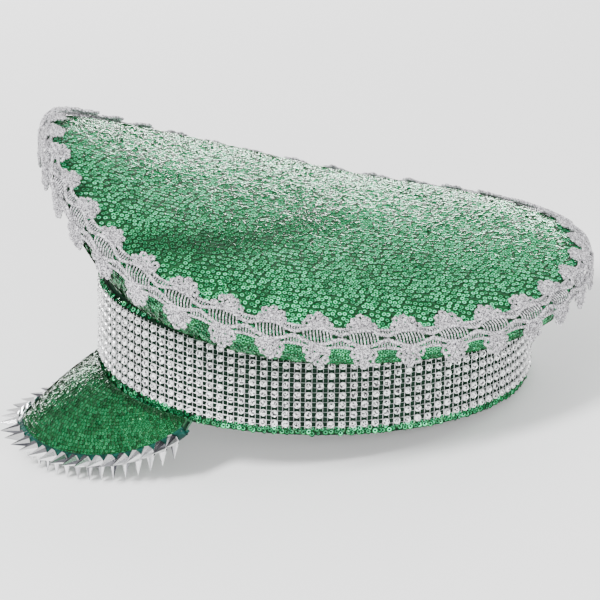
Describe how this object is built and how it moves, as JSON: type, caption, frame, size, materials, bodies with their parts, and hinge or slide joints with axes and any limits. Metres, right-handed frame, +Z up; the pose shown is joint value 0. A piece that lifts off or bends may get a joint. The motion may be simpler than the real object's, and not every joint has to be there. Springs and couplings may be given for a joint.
{
  "type": "peaked cap",
  "caption": "Peaked festival cap in green sequin cloth with a silver lace rim, a stud net band and a visor edged with cone spikes.",
  "frame": {"origin": "centre of the cap's bounding box on the surface it stands on", "axes": "+Z up from the surface, +Y towards the back of the cap, +X towards the wearer's left; the visor points along -Y"},
  "size_m": [0.242, 0.3038, 0.165],
  "materials": {
    "sequin_cloth": "overlapping glossy green sequins on mesh",
    "sequin_cloth_dark": "overlapping small glossy green sequins on mesh",
    "lace": "silver-grey gimp lace with flower edges",
    "stud_net": "silver studs on a linked mesh",
    "spike_finish": "polished silver cones with flat facets",
    "braid": "glossy dark green braid",
    "lining": "plain woven satin",
    "sweatband": "grey ribbed ribbon",
    "card": "stiff board",
    "wadding": "thin foam sheet",
    "buckram": "stiffened open weave",
    "stay": "flexible strip",
    "hoop": "spring wire"
  },
  "bodies": {
    "root": {"sweatband": "sweatband", "band_core": "card", "hem_tape": "braid", "band_cover": "sequin_cloth", "stud_net": "stud_net", "crown_top": "sequin_cloth", "quarter_front_left": "sequin_cloth", "quarter_front_right": "sequin_cloth", "quarter_rear_left": "sequin_cloth", "quarter_rear_right": "sequin_cloth", "top_interlining": "wadding", "front_buckram": "buckram", "front_stay": "stay", "rim_hoop": "hoop", "lining_top": "lining", "lining_side": "lining", "rim_lace": "lace", "visor_board": "card", "visor_top_cloth": "sequin_cloth_dark", "visor_under_cloth": "lining", "visor_binding": "braid", "upper_spikes": "spike_finish", "lower_spikes": "spike_finish"}
  },
  "joints": []
}
